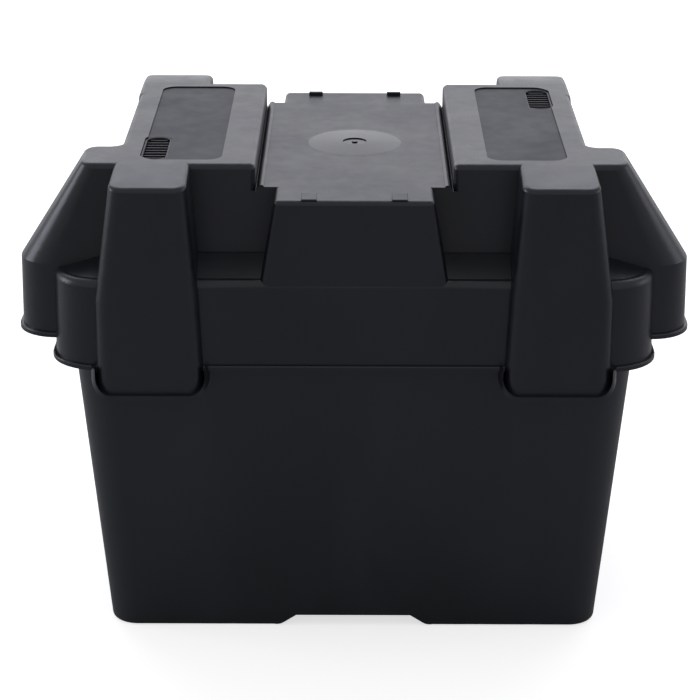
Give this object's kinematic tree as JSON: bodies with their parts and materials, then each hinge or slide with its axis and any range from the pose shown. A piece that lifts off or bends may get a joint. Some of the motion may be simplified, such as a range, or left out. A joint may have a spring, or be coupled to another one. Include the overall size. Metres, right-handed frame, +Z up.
{
  "type": "battery box",
  "caption": "Black moulded snap-top battery box for a boat or caravan: a tapered tub under a deep lid with cable hoods, vents and a strap recess",
  "frame": {"origin": "middle of the plane that the tub's feet stand on", "axes": "+X to the right along the long side, +Y from the front (the side with the cable hoods) to the back, +Z up"},
  "size_m": [0.3588, 0.2488, 0.265],
  "materials": {
    "tub_plastic": "fine moulded grain, satin black polypropylene",
    "lid_plastic": "fine moulded grain, satin black polypropylene",
    "vent_plastic": "smooth satin black insert"
  },
  "bodies": {
    "tub": {"base_tub": "tub_plastic"},
    "lid": {"lid": "lid_plastic", "vent_louvre_left": "vent_plastic", "vent_louvre_right": "vent_plastic"}
  },
  "joints": [
    {"name": "lid_lift", "type": "slide", "parent": "tub", "child": "lid", "axis": [0, 0, 1], "range_m": [0, 0.14]}
  ]
}
